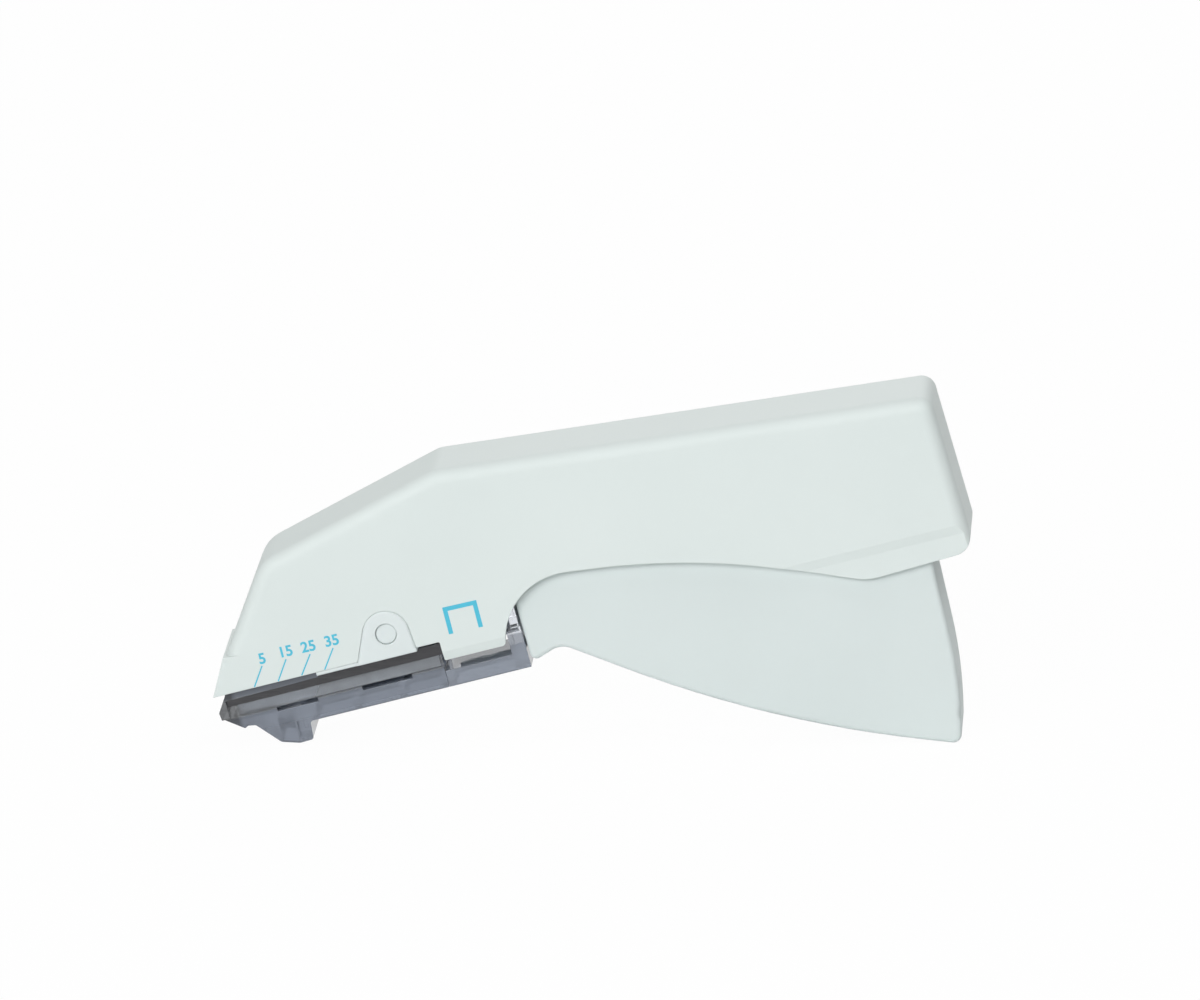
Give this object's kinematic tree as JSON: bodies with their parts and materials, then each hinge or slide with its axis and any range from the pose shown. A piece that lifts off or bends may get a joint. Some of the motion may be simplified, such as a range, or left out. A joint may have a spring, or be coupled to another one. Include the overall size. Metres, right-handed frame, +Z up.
{
  "type": "skin stapler",
  "caption": "Handheld surgical skin stapler: sloped-nose white body with squeeze trigger and a clear staple cartridge under the nose.",
  "frame": {"origin": "middle of the footprint, on the surface that the cartridge foot and the trigger heel stand on", "axes": "+X from the nose to the rear end of the grip, +Y across the body, +Z up"},
  "size_m": [0.1774, 0.0266, 0.0834],
  "materials": {
    "white_abs": "fine moulded satin",
    "clear_polycarbonate": "clear grey, polished",
    "stainless_steel": "rolled and blanked",
    "spring_steel": "drawn bright",
    "grey_acetal": "moulded"
  },
  "bodies": {
    "body": {"housing": "white_abs", "cartridge_frame": "white_abs", "pivot_pin": "white_abs", "former_guide": "grey_acetal", "nose_plate": "stainless_steel", "magazine_base": "clear_polycarbonate", "magazine_tail": "clear_polycarbonate", "track_cover": "stainless_steel", "anvil_plate": "stainless_steel", "ejector_spring": "spring_steel", "spring_rod": "stainless_steel", "spring_seat": "grey_acetal", "staples": "stainless_steel", "feed_spring": "spring_steel", "return_spring": "spring_steel"},
    "trigger_lever": {"trigger": "white_abs", "drive_pin": "stainless_steel"},
    "former_plate": {"former": "stainless_steel"},
    "pusher_sled": {"feed_pusher": "grey_acetal"}
  },
  "joints": [
    {"name": "trigger_squeeze", "type": "hinge", "parent": "body", "child": "trigger_lever", "pos_m": [-0.04779, 0, 0.02776], "axis": [0, -1, 0], "range_deg": [0, 16], "stiffness_Nm_per_rad": 3.6, "springref_deg": -5.73, "deforming": ["return_spring"]},
    {"name": "former_drive", "type": "slide", "parent": "body", "child": "former_plate", "axis": [-0.342, 0, -0.9397], "range_m": [0, 0.00713]},
    {"name": "staple_feed", "type": "slide", "parent": "body", "child": "pusher_sled", "axis": [-0.9703, 0, -0.2419], "range_m": [0, 0.01955], "deforming": ["staples", "feed_spring"]}
  ],
  "couplings": [
    {"joint": "former_drive", "follows": "trigger_squeeze", "m_per_rad": 0.025543}
  ]
}
